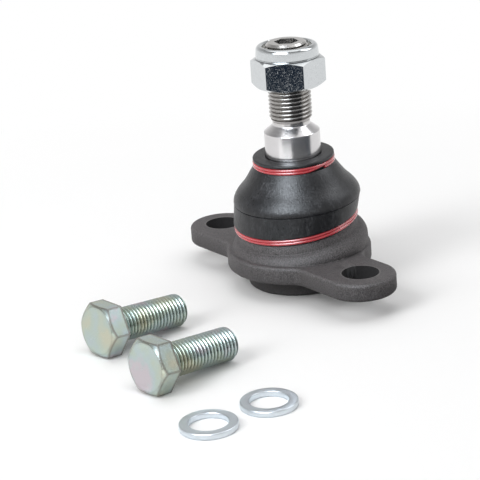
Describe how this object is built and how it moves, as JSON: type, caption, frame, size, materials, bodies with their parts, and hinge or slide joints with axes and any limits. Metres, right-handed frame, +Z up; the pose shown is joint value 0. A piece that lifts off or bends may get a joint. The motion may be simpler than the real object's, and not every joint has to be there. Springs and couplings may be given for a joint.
{
  "type": "suspension ball joint",
  "caption": "Suspension ball joint: ball stud in a lugged flange housing, with a rubber dust boot held by wire rings, a lock nut, and loose mounting bolts with washers.",
  "frame": {"origin": "middle of the foot of the housing, on the ground, on the stud's axis", "axes": "+Z up along the stud, +X along the line through the flange holes, and the flange holes lie a little to the -Y side of the stud"},
  "size_m": [0.1447, 0.1414, 0.0928],
  "materials": {
    "forged_housing": "dark phosphated steel forging with a fine grain and paler edges",
    "pressed_cover": "dark phosphated pressed steel",
    "seat_plastic": "off-white moulded plastic",
    "stud_steel": "bright turned steel",
    "boot_rubber": "charcoal rubber with a soft sheen and a fine parting crease",
    "red_wire": "glossy red coated wire",
    "nut_zinc": "bright zinc plating",
    "insert_nylon": "translucent natural nylon",
    "bolt_zinc": "yellow passivated zinc with a faint iridescence",
    "washer_zinc": "blue-white zinc plating"
  },
  "bodies": {
    "socket": {"housing": "forged_housing", "cover_plate": "pressed_cover", "ball_seat": "seat_plastic", "lower_clamp_ring": "red_wire"},
    "boot": {"dust_boot": "boot_rubber"},
    "boot_lip": {"upper_clamp_ring": "red_wire"},
    "stud": {"ball_stud": "stud_steel"},
    "nut": {"lock_nut": "nut_zinc", "nut_insert": "insert_nylon"},
    "loose_bolt_1": {"mounting_bolt_1": "bolt_zinc"},
    "loose_bolt_2": {"mounting_bolt_2": "bolt_zinc"},
    "loose_washer_1": {"washer_1": "washer_zinc"},
    "loose_washer_2": {"washer_2": "washer_zinc"}
  },
  "joints": [
    {"name": "stud_tilt_x", "type": "hinge", "parent": "socket", "child": "boot", "pos_m": [0, 0, 0.01983], "axis": [1, 0, 0], "range_deg": [-18, 18], "deforming": ["dust_boot"]},
    {"name": "stud_tilt_y", "type": "hinge", "parent": "boot", "child": "boot_lip", "pos_m": [0, 0, 0.01983], "axis": [0, 1, 0], "range_deg": [-18, 18]},
    {"name": "stud_spin", "type": "hinge", "parent": "boot_lip", "child": "stud", "pos_m": [0, 0, 0.01983], "axis": [0, 0, 1], "continuous": true},
    {"name": "nut_off", "type": "slide", "parent": "stud", "child": "nut", "axis": [0, 0, 1], "range_m": [-0.011, 0.06]},
    {"name": "bolt_1_lift", "type": "slide", "parent": "socket", "child": "loose_bolt_1", "axis": [0, 0, 1], "range_m": [0, 0.05]},
    {"name": "bolt_2_lift", "type": "slide", "parent": "socket", "child": "loose_bolt_2", "axis": [0, 0, 1], "range_m": [0, 0.05]},
    {"name": "washer_1_lift", "type": "slide", "parent": "socket", "child": "loose_washer_1", "axis": [0, 0, 1], "range_m": [0, 0.05]},
    {"name": "washer_2_lift", "type": "slide", "parent": "socket", "child": "loose_washer_2", "axis": [0, 0, 1], "range_m": [0, 0.05]}
  ]
}
